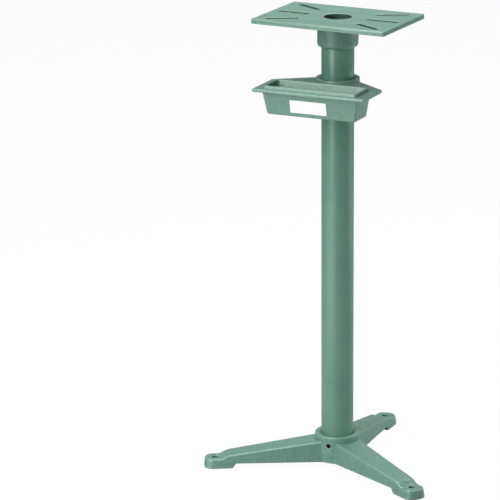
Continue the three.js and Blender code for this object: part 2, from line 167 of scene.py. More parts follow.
def casting_skin(metal, low, high, cell):
    """A casting's skin: one point in each grid cell that the skin crosses, pulled on to the skin."""
    axes = [
        np.arange(a - SKIN_MARGIN * cell, b + (SKIN_MARGIN + 1) * cell, cell)
        for a, b in zip(low, high)
    ]
    depth = metal(*np.meshgrid(*axes, indexing="ij"))
    total = np.zeros([n - 1 for n in depth.shape] + [3])
    count = np.zeros(total.shape[:3], int)
    rings = []
    for axis in range(3):
        step = np.eye(3, dtype=int)[axis]
        near = depth[tuple(slice(0, -1 if s else None) for s in step)]
        far = depth[tuple(slice(1 if s else 0, None) for s in step)]
        edge = np.argwhere((near < 0) != (far < 0))
        start = depth[tuple(edge.T)]
        end = depth[tuple((edge + step).T)]
        crossing = edge + step * (start / (start - end))[:, None]
        second, third = np.eye(3, dtype=int)[[(axis + 1) % 3, (axis + 2) % 3]]
        # The four cells round a grid edge that the skin crosses: their points make one face.
        ring = [edge, edge - second, edge - second - third, edge - third]
        for cells in ring:
            np.add.at(total, tuple(cells.T), crossing)
            np.add.at(count, tuple(cells.T), 1)
        ring = np.stack(ring, 1)
        rings.append(np.where((start < 0)[:, None, None], ring, ring[:, ::-1]))
    used = count > 0
    number = np.full(count.shape, -1)
    number[used] = np.arange(used.sum())
    points = total[used] / count[used][:, None] * cell + [a[0] for a in axes]
    probe = cell * SKIN_PROBE
    for _ in range(SKIN_PULLS):
        slope = np.stack([
            metal(*(points + probe * unit).T) - metal(*(points - probe * unit).T)
            for unit in np.eye(3)
        ], 1) / (2 * probe)
        pull = metal(*points.T) / np.maximum((slope ** 2).sum(1), LEAST_SLOPE)
        points -= slope * np.clip(pull, -cell / 2, cell / 2)[:, None]
    quads = number[tuple(np.moveaxis(np.concatenate(rings), -1, 0))]
    return points, quads


AXIS = (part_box("column_tube")[0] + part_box("column_tube")[1]) / 2


def linked(name, data):
    """A new object of the scene that shows the given mesh, curve, camera or lamp."""
    made = bpy.data.objects.new(name, data)
    bpy.context.scene.collection.objects.link(made)
    return made


def placed(name, points, faces):
    """A smooth mesh object from points in millimetres about the column's axis."""
    mesh = bpy.data.meshes.new(name)
    in_metres = np.asarray(points) / MM_PER_M + [AXIS.x, AXIS.y, 0]
    mesh.from_pydata(in_metres.tolist(), [], np.asarray(faces).tolist())
    mesh.shade_smooth()
    mesh.update()
    return linked(name, mesh)


base_back = PAD_END["floor"]
base_side = base_back * math.cos(math.pi / 6) + PAD_HALF["floor"]
base_front = -base_back / 2 - PAD_HALF["floor"]
base = placed("base", *casting_skin(
    base_metal,
    (-base_side, base_front, 0),
    (base_side, base_back, HUB_TOP),
    BASE_CELL,
))


def linear(hex_code):
    """A colour written as sRGB hex, as the linear RGBA that a socket takes."""
    channels = [int(hex_code[i:i + 2], 16) / 255 for i in (1, 3, 5)]
    return [c / 12.92 if c <= 0.04045 else ((c + 0.055) / 1.055) ** 2.4 for c in channels] + [1.0]


def add_node(tree, kind, sockets=None, **settings):
    """One node with its settings; each socket takes a value or a link."""
    node = tree.nodes.new(kind)
    for setting, value in settings.items():
        setattr(node, setting, value)
    for socket, value in (sockets or {}).items():
        if isinstance(value, bpy.types.NodeSocket):
            tree.links.new(value, node.inputs[socket])
        else:
            node.inputs[socket].default_value = value
    return node


def new_material(name):
    """A new material, the tree of its nodes and its shader."""
    material = bpy.data.materials.new(name)
    material.use_nodes = True
    return material, material.node_tree, material.node_tree.nodes["Principled BSDF"]


# Satin grey-green enamel sprayed over unground sand-cast iron: the mould's skin shows through as
# swells and a pebble that break up every highlight. Within 3 mm of a convex edge the coat is
# glossier,
# as rubbed by handling, and paler: a painted highlight along every edge that also stands for rubbed
# paint. Within 5 mm of an inside corner or of another part it is darker: painted shade. The pebble
# is drawn at 2 mm, coarser than moulding sand, so that it shows from across a room.
ENAMEL_IOR = 1.52
SWELL_MM = 9
PEBBLE_MM = 2.0
EDGE_BAND = 0.003
NOOK_BAND = 0.005
RUBBED_ROUGHNESS = 0.2
NOISE_SPAN = {"From Min": 0.3, "From Max": 0.7}
EDGE_SPAN = {"From Min": 0.98, "From Max": 0.8}
NOOK_SPAN = {"From Min": 0.4, "From Max": 0.95}
SHADE_SAMPLES = 8
casting_enamel, tree, shader = new_material("casting_enamel")
place = add_node(tree, "ShaderNodeTexCoord").outputs["Object"]
swell = add_node(tree, "ShaderNodeTexNoise", {
    "Vector": place, "Scale": MM_PER_M / SWELL_MM, "Detail": 3.0})
grain = add_node(tree, "ShaderNodeTexNoise", {
    "Vector": place, "Scale": MM_PER_M / PEBBLE_MM, "Detail": 2.0})
tint = add_node(tree, "ShaderNodeValToRGB", {"Fac": swell.outputs["Fac"]})
tint.color_ramp.elements[0].position = NOISE_SPAN["From Min"]
tint.color_ramp.elements[0].color = linear("#5f8578")
tint.color_ramp.elements[1].position = NOISE_SPAN["From Max"]
tint.color_ramp.elements[1].color = linear("#678d80")
speckle = add_node(tree, "ShaderNodeMapRange", {
    "Value": grain.outputs["Fac"], **NOISE_SPAN, "To Min": 0.78, "To Max": 1.18})
coat = add_node(tree, "ShaderNodeVectorMath", {
    0: tint.outputs["Color"], 1: speckle.outputs["Result"]}, operation="MULTIPLY")
near_edge = add_node(tree, "ShaderNodeAmbientOcclusion", {
    "Distance": EDGE_BAND}, inside=True, only_local=True, samples=SHADE_SAMPLES)
# Painted highlight, partly rubbed paint: near a convex edge the colour is mixed paler and the coat
# glossier.
edge_wear_and_highlight = add_node(tree, "ShaderNodeMapRange", {
    "Value": near_edge.outputs["AO"], **EDGE_SPAN, "To Min": 0.0, "To Max": 1.0})
# Painted shade: the colour is darkened within 5 mm of inside corners and of other parts nearby.
in_nook = add_node(tree, "ShaderNodeAmbientOcclusion", {
    "Distance": NOOK_BAND}, samples=SHADE_SAMPLES)
painted_nook_shade = add_node(tree, "ShaderNodeMapRange", {
    "Value": in_nook.outputs["AO"], **NOOK_SPAN, "To Min": 0.6, "To Max": 1.0})
# The coat with the painted nook shade multiplied in.
coat = add_node(tree, "ShaderNodeVectorMath", {
    0: coat.outputs["Vector"], 1: painted_nook_shade.outputs["Result"]}, operation="MULTIPLY")
# Painted highlight: convex edges are mixed towards a paler green.
worn_and_highlit_coat = add_node(tree, "ShaderNodeMix", {
    "Factor": edge_wear_and_highlight.outputs["Result"], "A": coat.outputs["Vector"], "B": linear("#7a9c8f")
}, data_type="RGBA")
gloss = add_node(tree, "ShaderNodeMapRange", {
    "Value": swell.outputs["Fac"], **NOISE_SPAN, "To Min": 0.38, "To Max": 0.3})
polish = add_node(tree, "ShaderNodeMix", {
    "Factor": edge_wear_and_highlight.outputs["Result"], "A": gloss.outputs["Result"], "B": RUBBED_ROUGHNESS})
lumps = add_node(tree, "ShaderNodeBump", {
    "Height": swell.outputs["Fac"], "Strength": 0.5, "Distance": 0.0007})
pebble = add_node(tree, "ShaderNodeBump", {
    "Height": grain.outputs["Fac"], "Strength": 0.5, "Distance": 0.0005,
    "Normal": lumps.outputs["Normal"]})
tree.links.new(worn_and_highlit_coat.outputs["Result"], shader.inputs["Base Color"])
tree.links.new(polish.outputs["Result"], shader.inputs["Roughness"])
tree.links.new(pebble.outputs["Normal"], shader.inputs["Normal"])
shader.inputs["IOR"].default_value = ENAMEL_IOR
base.data.materials.append(casting_enamel)
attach(base, "base")
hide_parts("base_casting")

# Column. A length of stock steel tube, 57 mm across, cut square and sprayed with the same enamel.
# It stands on the seat in the hub and reaches the shoulder under the top plate.
PLATE_TOP = 813.0
PLATE_THICKNESS = 8.5
TUBE_WALL = 3.0
TUBE_EDGE = 0.6
TUBE_SIDES = 128
TUBE_SHARP_FROM = math.radians(40)
CORNER_STEPS = 6


def rounded_corners(corners, edges, steps=CORNER_STEPS):
    """A closed outline with each corner given its own round."""
    outline = []
    corners = [Vector(c) for c in corners]
    for i, (corner, edge) in enumerate(zip(corners, edges)):
        to_last = (corners[i - 1] - corner).normalized()
        to_next = (corners[(i + 1) % len(corners)] - corner).normalized()
        if edge == 0:
            outline.append(corner)
            continue
        half = to_last.angle(to_next) / 2
        middle = corner + (to_last + to_next).normalized() * edge / math.sin(half)
        reach = edge / math.tan(half)
        first = corner + to_last * reach - middle
        turn = math.pi - 2 * half
        turn = -math.copysign(turn, to_last.x * to_next.y - to_last.y * to_next.x)
        for s in range(steps + 1):
            angle = turn * s / steps
            c, n = math.cos(angle), math.sin(angle)
            outline.append(middle + Vector((first.x * c - first.y * n, first.x * n + first.y * c)))
    return outline


def turned(outline, sides):
    """Points and faces of an outline of radii and heights, turned about the axis."""
    count = len(outline)
    points = []
    for s in range(sides):
        angle = 2 * math.pi * s / sides
        points += [(r * math.cos(angle), r * math.sin(angle), z) for r, z in outline]
    faces = []
    for s in range(sides):
        for i in range(count):
            a, b = s * count, (s + 1) % sides * count
            j = (i + 1) % count
            faces.append((a + i, b + i, b + j, a + j))
    return points, faces


tube_low = TUBE_SEAT + FIT_GAP
tube_high = PLATE_TOP - PLATE_THICKNESS - FIT_GAP
tube_wall = rounded_corners(
    [(TUBE_RADIUS - TUBE_WALL, tube_low), (TUBE_RADIUS, tube_low),
     (TUBE_RADIUS, tube_high), (TUBE_RADIUS - TUBE_WALL, tube_high)],
    [TUBE_EDGE] * 4,
)
column = placed("column", *turned(tube_wall, TUBE_SIDES))
column.data.set_sharp_from_angle(angle=TUBE_SHARP_FROM)

# The same satin enamel sprayed on smooth drawn steel: no sand shows through, so highlights run down
# the tube as clean, soft-edged bands. The tone drifts in broad clouds where passes of the spray
# overlap, and a faint orange peel, 3 mm from crest to crest, makes the bands waver a little.
CLOUD_MM = 60
PEEL_MM = 3.0
tube_enamel, tree, shader = new_material("tube_enamel")
place = add_node(tree, "ShaderNodeTexCoord").outputs["Object"]
cloud = add_node(tree, "ShaderNodeTexNoise", {
    "Vector": place, "Scale": MM_PER_M / CLOUD_MM, "Detail": 2.0})
peel = add_node(tree, "ShaderNodeTexNoise", {
    "Vector": place, "Scale": MM_PER_M / PEEL_MM, "Detail": 1.0})
tint = add_node(tree, "ShaderNodeValToRGB", {"Fac": cloud.outputs["Fac"]})
tint.color_ramp.elements[0].position = 0.32
tint.color_ramp.elements[0].color = linear("#598274")
tint.color_ramp.elements[1].position = 0.7
tint.color_ramp.elements[1].color = linear("#618a7b")
ripple = add_node(tree, "ShaderNodeBump", {
    "Height": peel.outputs["Fac"], "Strength": 0.12, "Distance": 0.0003})
tree.links.new(tint.outputs["Color"], shader.inputs["Base Color"])
tree.links.new(ripple.outputs["Normal"], shader.inputs["Normal"])
shader.inputs["Roughness"].default_value = 0.32
shader.inputs["IOR"].default_value = ENAMEL_IOR
column.data.materials.append(tube_enamel)
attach(column, "column")
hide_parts("column_tube")

# Tool tray. One iron casting from a sand mould: a drafted bowl with a raised lip, a flange round it,
# and a web behind that carries the clamping ring. The well's back wall flares towards its mouth.
# The tray slides on the column, hangs to the front and is held by a set screw in the ring.
TRAY_TOP = 703.5
TRAY_FLOOR = 657.5
FLANGE_THICKNESS = 5.8
BOWL_RIM_AT = TRAY_TOP - FLANGE_THICKNESS / 2
BOWL_RIM = {"half": 89.1, "front": -121.8, "back": -63.2}
BOWL_FLOOR = {"half": 83.0, "front": -115.0, "back": -65.6}
BOWL_CORNER = 3.0
BOWL_LOWER_EDGE = 4.0
LIP_TOP = 709.0
LIP_FOOT = {"half": 87.6, "front": -122.9, "back": -63.9}
LIP_HEAD = {"half": 86.2, "front": -121.5, "back": -65.3}
LIP_CORNER = 5.0
LIP_EDGE = 1.0
LIP_FILLET = 0.9
WELL_MOUTH = {"half": 82.6, "front": -118.0, "back": -68.4}
WELL_BEND = {"half": 80.4, "front": -115.6, "back": -73.0}
WELL_BEND_AT = LIP_TOP - 14.0
WELL_FLOOR = {"half": 76.0, "front": -111.0, "back": -73.6}
WELL_BOTTOM = TRAY_FLOOR + 5.0
WELL_LOWER_EDGE = 5.0
WELL_EDGE = 0.9
FLANGE_HALF = 104.0
FLANGE_FRONT = -130.0
FLANGE_BACK = -48.5
WEB_BACK = -2.0
FLANGE_CORNER = 2.6
FLANGE_EDGE = 1.8
FLANGE_FILLET = 1.8
RING_RADIUS = 38.3
RING_TOP = 706.5
RING_LENGTH = 38.5
RING_EDGE = 1.8
RING_FILLET = 1.2
TRAY_SCREW_HEIGHT = 685.0
TRAY_CELL = 1.1


def drafted(x, y, z, lower, lower_at, upper, upper_at, corner):
    """The upright walls of a box that widens evenly up to a height and then stays as wide."""
    share = np.minimum((z - lower_at) / (upper_at - lower_at), 1)
    half, front, back = (
        lower[side] + (upper[side] - lower[side]) * share for side in ("half", "front", "back"))
    ends = np.abs(y - (front + back) / 2) - (back - front) / 2
    return meet(np.abs(x) - half, ends, corner)


def tray_metal(x, y, z):
    """The tray's metal: bowl, lip, flange and ring in one, then hollowed, bored and drilled."""
    radius = np.hypot(x, y)
    wall_foot = TRAY_FLOOR + BOWL_LOWER_EDGE
    bowl = drafted(x, y, z, BOWL_FLOOR, wall_foot, BOWL_RIM, BOWL_RIM_AT, BOWL_CORNER)
    bowl = np.maximum(meet(bowl, TRAY_FLOOR - z, BOWL_LOWER_EDGE), z - BOWL_RIM_AT)
    lip = drafted(x, y, z, LIP_FOOT, TRAY_TOP, LIP_HEAD, LIP_TOP, LIP_CORNER)
    lip = np.maximum(meet(lip, z - LIP_TOP, LIP_EDGE), BOWL_RIM_AT - z)

    sides = meet(np.abs(x) - FLANGE_HALF, FLANGE_FRONT - y, FLANGE_CORNER)
    run, rise = FLANGE_HALF - RING_RADIUS, WEB_BACK - FLANGE_BACK
    slant = ((np.abs(x) - FLANGE_HALF) * rise + (y - FLANGE_BACK) * run) / math.hypot(run, rise)
    flange = np.maximum(meet(sides, slant, FLANGE_CORNER), y - WEB_BACK)
    flange = meet(flange, np.abs(z - BOWL_RIM_AT) - FLANGE_THICKNESS / 2, FLANGE_EDGE)

    ring_ends = np.maximum(z - RING_TOP, RING_TOP - RING_LENGTH - z)
    ring = meet(radius - RING_RADIUS, ring_ends, RING_EDGE)
    metal = join(join(join(bowl, flange, FLANGE_FILLET), lip, LIP_FILLET), ring, RING_FILLET)

    well_foot = WELL_BOTTOM + WELL_LOWER_EDGE
    well = np.minimum(
        drafted(x, y, z, WELL_FLOOR, well_foot, WELL_BEND, WELL_BEND_AT, LIP_CORNER),
        drafted(x, y, z, WELL_BEND, WELL_BEND_AT, WELL_MOUTH, LIP_TOP, LIP_CORNER))
    well = meet(well, WELL_BOTTOM - z, WELL_LOWER_EDGE)
    metal = meet(metal, -well, WELL_EDGE)
    metal = meet(metal, BORE_RADIUS - radius, HUB_MOUTH_EDGE)
    screw_hole = np.maximum(np.hypot(x, z - TRAY_SCREW_HEIGHT) - SCREW_HOLE, -y)
    return meet(metal, -screw_hole, HOLE_EDGE)


tray = placed("tray", *casting_skin(
    tray_metal,
    (-FLANGE_HALF, FLANGE_FRONT, TRAY_FLOOR),
    (FLANGE_HALF, RING_RADIUS, LIP_TOP),
    TRAY_CELL,
))
tray.data.materials.append(casting_enamel)
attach(tray, "tray")
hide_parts("tool_tray")

# Label. A blank white vinyl sticker, die-cut with its corners just eased and a sixth of a millimetre
# thick, pressed flat on the bowl's leaning front wall.
LABEL_SIZE = (67.4, 22.8)
LABEL_CENTRE = (-3.7, 676.4)
LABEL_THICKNESS = 0.16
LABEL_LIFT = 0.06
LABEL_CORNER = 0.7

wall_foot = TRAY_FLOOR + BOWL_LOWER_EDGE
wall_share = (LABEL_CENTRE[1] - wall_foot) / (BOWL_RIM_AT - wall_foot)
wall_lean = math.atan2(BOWL_FLOOR["front"] - BOWL_RIM["front"], BOWL_RIM_AT - wall_foot)
label_front = BOWL_FLOOR["front"] + (BOWL_RIM["front"] - BOWL_FLOOR["front"]) * wall_share
half_w, half_h = LABEL_SIZE[0] / 2, LABEL_SIZE[1] / 2
label_outline = rounded_corners(
    [(-half_w, -half_h), (half_w, -half_h), (half_w, half_h), (-half_w, half_h)],
    [LABEL_CORNER] * 4,
)
edge_inset = LABEL_THICKNESS / 3
label_layers = (
    (LABEL_LIFT, 0),
    (LABEL_LIFT + LABEL_THICKNESS - edge_inset, 0),
    (LABEL_LIFT + LABEL_THICKNESS, edge_inset),
)
label_points = []
for outward, inset in label_layers:
    for corner in label_outline:
        across = corner.x - math.copysign(inset, corner.x)
        up = corner.y - math.copysign(inset, corner.y)
        label_points.append((
            LABEL_CENTRE[0] + across,
            label_front - up * math.sin(wall_lean) - outward * math.cos(wall_lean),
            LABEL_CENTRE[1] + up * math.cos(wall_lean) - outward * math.sin(wall_lean),
        ))
count = len(label_outline)
label_faces = [list(range(count))[::-1], list(range(2 * count, 3 * count))]
for layer in range(len(label_layers) - 1):
    for i in range(count):
        a = layer * count
        j = (i + 1) % count
        label_faces.append([a + i, a + j, a + count + j, a + count + i])
label_mesh = bpy.data.meshes.new("label")
label_in_metres = np.array(label_points) / MM_PER_M + [AXIS.x, AXIS.y, 0]
label_mesh.from_pydata(label_in_metres.tolist(), [], label_faces)
label_mesh.update()
label = linked("label", label_mesh)

# White vinyl film, rolled smooth and left unprinted: half glossy, so it reads as one clean bright
# patch against the rough iron, with faint scuffs a finger wide from handling.
SCUFF_MM = 9
label_vinyl, tree, shader = new_material("label_vinyl")
place = add_node(tree, "ShaderNodeTexCoord").outputs["Object"]
scuff = add_node(tree, "ShaderNodeTexNoise", {
    "Vector": place, "Scale": MM_PER_M / SCUFF_MM, "Detail": 3.0})
white = add_node(tree, "ShaderNodeValToRGB", {"Fac": scuff.outputs["Fac"]})
white.color_ramp.elements[0].color = linear("#eeeeec")
white.color_ramp.elements[1].color = linear("#fbfbfa")
tree.links.new(white.outputs["Color"], shader.inputs["Base Color"])
shader.inputs["Roughness"].default_value = 0.32
label.data.materials.append(label_vinyl)
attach(label, "tray")
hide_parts("tray_label")

# Top plate. One iron casting: a flat slotted plate with a cord hole, and a collar below it that
# sockets over the tube's end. Two set screws clamp it, a little out of square with the legs.
PLATE_SIZE = (252.0, 167.0)
PLATE_CORNER = 3.0
PLATE_EDGE = 1.0
PLATE_TURN = math.radians(-2.2)
SLOT_WIDTH = 9.5
# The middles of each slot's two ends, on the right half of the plate; the left half mirrors them.
SLOTS = [
    ((59.7, 0.0), (111.0, 0.0)),
    ((59.3, 41.9), (102.0, 64.6)),
    ((59.3, -41.9), (102.0, -64.6)),
]
COLLAR_RADIUS = 35.7
COLLAR_LENGTH = 43.7
COLLAR_LOWER_EDGE = 6.5
COLLAR_MOUTH_EDGE = 0.4
COLLAR_FILLET = 3.0
COLLAR_SIDES = 96
COLLAR_STEPS = 8
PLATE_SCREW_HEIGHT = 782.0
PLATE_SCREW_TURNS = {"right": math.radians(45), "left": math.radians(135)}
SLOT_END_STEPS = 14
PLATE_EDGE_STEPS = 3
PLATE_SHARP_FROM = math.radians(28)
SAME_POINT = 1e-4
DRILL_SIDES = 32
DRILL_PIPE = 0.01
UPRIGHT_WALL_LIMIT = 0.35

plate_curve = bpy.data.curves.new("plate", "CURVE")
plate_curve.dimensions = "2D"
plate_curve.fill_mode = "BOTH"
plate_curve.extrude = PLATE_THICKNESS / 2 - PLATE_EDGE
plate_curve.bevel_depth = PLATE_EDGE
plate_curve.bevel_resolution = PLATE_EDGE_STEPS
plate_curve.offset = -PLATE_EDGE
half_w, half_d = PLATE_SIZE[0] / 2, PLATE_SIZE[1] / 2
plate_loops = [rounded_corners(
    [(-half_w, -half_d), (half_w, -half_d), (half_w, half_d), (-half_w, half_d)],
    [PLATE_CORNER] * 4,
)]
cord_hole_angles = [2 * math.pi * s / COLLAR_SIDES for s in range(COLLAR_SIDES)]
plate_loops.append([
    (SHOULDER_RADIUS * math.cos(angle), SHOULDER_RADIUS * math.sin(angle))
    for angle in cord_hole_angles
])
for side in (1, -1):
    for inner, outer in SLOTS:
        inner, outer = (Vector((side * p[0], p[1])) for p in (inner, outer))
        heading = math.atan2(outer.y - inner.y, outer.x - inner.x)
        loop = []
        for centre, first in ((outer, heading - math.pi / 2), (inner, heading + math.pi / 2)):
            for s in range(SLOT_END_STEPS + 1):
                angle = first + math.pi * s / SLOT_END_STEPS
                loop.append(centre + Vector((math.cos(angle), math.sin(angle))) * SLOT_WIDTH / 2)
        plate_loops.append(loop)
for loop in plate_loops:
    spline = plate_curve.splines.new("POLY")
    spline.points.add(len(loop) - 1)
    for point, corner in zip(spline.points, loop):
        point.co = (corner[0], corner[1], 0, 1)
    spline.use_cyclic_u = True


def finished_mesh(made):
    """The mesh of an object as its curve settings or modifiers leave it."""
    bpy.context.view_layer.update()
    return bpy.data.meshes.new_from_object(made.evaluated_get(bpy.context.evaluated_depsgraph_get()))


plate_flat = linked("plate_flat", plate_curve)
plate_mesh = finished_mesh(plate_flat)
bpy.data.objects.remove(plate_flat)
shape = bmesh.new()
shape.from_mesh(plate_mesh)
bmesh.ops.remove_doubles(shape, verts=shape.verts, dist=SAME_POINT)
bmesh.ops.recalc_face_normals(shape, faces=shape.faces)
bmesh.ops.translate(shape, verts=shape.verts, vec=(0, 0, PLATE_TOP - PLATE_THICKNESS / 2))
shape.to_mesh(plate_mesh)
shape.free()
plate = linked("plate", plate_mesh)

plate_under = PLATE_TOP - PLATE_THICKNESS
collar_low = plate_under - COLLAR_LENGTH
collar_root = plate_under + PLATE_EDGE
fillet_end = COLLAR_RADIUS + COLLAR_FILLET * 2
collar_wall = rounded_corners(
    [(BORE_RADIUS, collar_low), (COLLAR_RADIUS, collar_low), (COLLAR_RADIUS, plate_under),
     (fillet_end, plate_under), (fillet_end, collar_root), (BORE_RADIUS, collar_root)],
    [COLLAR_MOUTH_EDGE, COLLAR_LOWER_EDGE, COLLAR_FILLET, 0, 0, 0],
    steps=COLLAR_STEPS,
)


def within_plate(spot):
    """Whether a wall of the plate is in a slot or the cord hole, not at the outer edge."""
    return abs(spot.x) < half_w - SLOT_WIDTH / 2 and abs(spot.y) < half_d - SLOT_WIDTH / 2


def tool(name, points, faces):
    """A solid in millimetres, to be joined to or cut from a casting."""
    mesh = bpy.data.meshes.new(name)
    mesh.from_pydata(points, [], faces)
    body = bmesh.new()
    body.from_mesh(mesh)
    bmesh.ops.recalc_face_normals(body, faces=body.faces)
    body.to_mesh(mesh)
    body.free()
    return linked(name, mesh)


plate_tools = [("UNION", tool("collar", *turned(collar_wall, COLLAR_SIDES)))]
drill_wall = [
    (DRILL_PIPE, 0), (SCREW_HOLE, 0), (SCREW_HOLE, COLLAR_RADIUS), (DRILL_PIPE, COLLAR_RADIUS)]
for turn in PLATE_SCREW_TURNS.values():
    drill = tool("drill", *turned(drill_wall, DRILL_SIDES))
    drill.data.transform(
        Matrix.Translation((0, 0, PLATE_SCREW_HEIGHT))
        @ Matrix.Rotation(turn, 4, "Z")
        @ Matrix.Translation((TUBE_RADIUS - TUBE_WALL, 0, 0))
        @ Matrix.Rotation(math.pi / 2, 4, "Y")
    )
    plate_tools.append(("DIFFERENCE", drill))
for operation, other in plate_tools:
    cut = plate.modifiers.new(other.name, "BOOLEAN")
    cut.operation = operation
    cut.solver = "EXACT"
    cut.object = other
plate_mesh = finished_mesh(plate)
plate.modifiers.clear()
plate.data = plate_mesh
for operation, other in plate_tools:
    bpy.data.objects.remove(other)
plate_mesh.transform(
    Matrix.Translation(AXIS * Vector((1, 1, 0)))
    @ Matrix.Rotation(PLATE_TURN, 4, "Z")
    @ Matrix.Scale(1 / MM_PER_M, 4)
)
plate_mesh.shade_smooth()
plate_mesh.set_sharp_from_angle(angle=PLATE_SHARP_FROM)

# Painted shade in the slots and the cord hole: their walls are coloured dull and near black, with
# lighter green patches a few millimetres across, so that the openings read as dark slits from above.
SLOT_PATCH_MM = 4
painted_slot_shade, tree, shader = new_material("painted_slot_shade")
place = add_node(tree, "ShaderNodeTexCoord").outputs["Object"]
slot_patches = add_node(tree, "ShaderNodeTexNoise", {
    "Vector": place, "Scale": MM_PER_M / SLOT_PATCH_MM, "Detail": 3.0})
slot_shade_tone = add_node(tree, "ShaderNodeValToRGB", {"Fac": slot_patches.outputs["Fac"]})
slot_shade_tone.color_ramp.elements[0].position = 0.35
slot_shade_tone.color_ramp.elements[0].color = linear("#24362f")
slot_shade_tone.color_ramp.elements[1].position = 0.75
slot_shade_tone.color_ramp.elements[1].color = linear("#446258")
tree.links.new(slot_shade_tone.outputs["Color"], shader.inputs["Base Color"])
shader.inputs["Roughness"].default_value = 0.7

plate_mesh.materials.clear()
plate_mesh.materials.append(casting_enamel)
plate_mesh.materials.append(painted_slot_shade)
to_plate = Matrix.Rotation(-PLATE_TURN, 4, "Z") @ Matrix.Translation(AXIS * Vector((-1, -1, 0)))
# Upright walls inside the plate, in the slots and the cord hole, take the painted slot shade.
for face in plate_mesh.polygons:
    spot = to_plate @ face.center * MM_PER_M
    upright = abs(face.normal.z) < UPRIGHT_WALL_LIMIT
    face.material_index = int(upright and spot.z > plate_under and within_plate(spot))
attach(plate, "plate")
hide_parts("top_plate")

# Set screws. Headless M8 steel screws with a rolled thread that clamp hub, ring and collar on the
# tube: three in the hub, one at the back of the tray's ring and two in the collar. One tree of nodes
# makes each: a rod whose skin follows the helix, a flat point, a hexagon socket in the outer end.
SCREW = {
    "Radius": 4.0,
    "Pitch": 1.25,
    "Thread depth": 0.68,
    "Point radius": 2.8,
    "Rim chamfer": 0.8,
    "Key across flats": 4.0,
    "Key depth": 4.0,
    "Start": BORE_RADIUS,
}
SCREW_SIDES = 48
RINGS_PER_TURN = 8
HEX_SIDES = 6
SCREW_SHARP_FROM = math.radians(30)
IN_HUB = {"Length": 9.0, "Height": BASE_SCREW_HEIGHT}
IN_RING = {"Length": 8.0, "Height": TRAY_SCREW_HEIGHT}
IN_COLLAR = {"Length": 6.0, "Height": PLATE_SCREW_HEIGHT}
SCREW_PLACES = {
    "base_set_screw_front": {**IN_HUB, "Direction": math.radians(270)},
    "base_set_screw_right": {**IN_HUB, "Direction": math.radians(30)},
    "base_set_screw_left": {**IN_HUB, "Direction": math.radians(150)},
    "tray_set_screw": {**IN_RING, "Direction": math.radians(90)},
    "plate_set_screw_right": {**IN_COLLAR, "Direction": PLATE_SCREW_TURNS["right"] + PLATE_TURN},
    "plate_set_screw_left": {**IN_COLLAR, "Direction": PLATE_SCREW_TURNS["left"] + PLATE_TURN},
}

# Black oxide on steel, grown in a hot salt bath after the thread was rolled: a film too thin to hide
# the metal, so the screws are nearly black but still shine softly. Its blotches are drawn at 2 mm,
# coarser than the real ones, so that they show close up.
BLOTCH_MM = 2.0
black_oxide, tree, shader = new_material("black_oxide")
place = add_node(tree, "ShaderNodeTexCoord").outputs["Object"]
smut = add_node(tree, "ShaderNodeTexNoise", {
    "Vector": place, "Scale": MM_PER_M / BLOTCH_MM, "Detail": 3.0})
steel = add_node(tree, "ShaderNodeValToRGB", {"Fac": smut.outputs["Fac"]})
steel.color_ramp.elements[0].color = linear("#1e2021")
steel.color_ramp.elements[1].color = linear("#35383a")
tree.links.new(steel.outputs["Color"], shader.inputs["Base Color"])
shader.inputs["Metallic"].default_value = 1.0
shader.inputs["Roughness"].default_value = 0.42

screw_tree = bpy.data.node_groups.new("set_screw", "GeometryNodeTree")
screw_tree.interface.new_socket("Screw", in_out="OUTPUT", socket_type="NodeSocketGeometry")
screw_sockets = {}
for size in [*SCREW, "Length", "Height", "Direction"]:
    screw_sockets[size] = screw_tree.interface.new_socket(
        size, in_out="INPUT", socket_type="NodeSocketFloat")
given = add_node(screw_tree, "NodeGroupInput").outputs


def worked(operation, first, second=0.0):
    """One step of the screw's arithmetic."""
    step = add_node(screw_tree, "ShaderNodeMath", {0: first, 1: second}, operation=operation)
    return step.outputs[0]


turns = worked("DIVIDE", given["Length"], given["Pitch"])
rings = worked("CEIL", worked("MULTIPLY", turns, RINGS_PER_TURN))
rod = add_node(screw_tree, "GeometryNodeMeshCylinder", {
    "Vertices": SCREW_SIDES, "Side Segments": rings,
    "Radius": given["Radius"], "Depth": given["Length"]})
point_at = add_node(screw_tree, "GeometryNodeInputPosition")
at = add_node(screw_tree, "ShaderNodeSeparateXYZ", {0: point_at.outputs[0]}).outputs
round_share = worked("DIVIDE", worked("ARCTAN2", at["Y"], at["X"]), 2 * math.pi)
helix = worked("SUBTRACT", worked("DIVIDE", at["Z"], given["Pitch"]), round_share)
groove_slope = worked("MULTIPLY", given["Thread depth"], 2.0)
groove = worked("MULTIPLY", worked("PINGPONG", helix, 0.5), groove_slope)
half_length = worked("DIVIDE", given["Length"], 2.0)
point_cone = worked("ADD", given["Point radius"], worked("ADD", half_length, at["Z"]))
below_rim = worked("SUBTRACT", half_length, at["Z"])
rim_cone = worked("SUBTRACT", worked("ADD", given["Radius"], below_rim), given["Rim chamfer"])
thread = worked("SUBTRACT", given["Radius"], groove)
skin_radius = worked("MINIMUM", thread, worked("MINIMUM", point_cone, rim_cone))
pinch = worked("DIVIDE", skin_radius, given["Radius"])
skin_place = add_node(screw_tree, "ShaderNodeCombineXYZ", {
    "X": worked("MULTIPLY", at["X"], pinch),
    "Y": worked("MULTIPLY", at["Y"], pinch),
    "Z": at["Z"]})
threaded = add_node(screw_tree, "GeometryNodeSetPosition", {
    "Geometry": rod.outputs["Mesh"], "Position": skin_place.outputs[0]})
key_radius = worked("DIVIDE", given["Key across flats"], 2 * math.cos(math.pi / HEX_SIDES))
key = add_node(screw_tree, "GeometryNodeMeshCylinder", {
    "Vertices": HEX_SIDES, "Radius": key_radius,
    "Depth": worked("MULTIPLY", given["Key depth"], 2.0)})
key_place = add_node(screw_tree, "ShaderNodeCombineXYZ", {"Z": half_length})
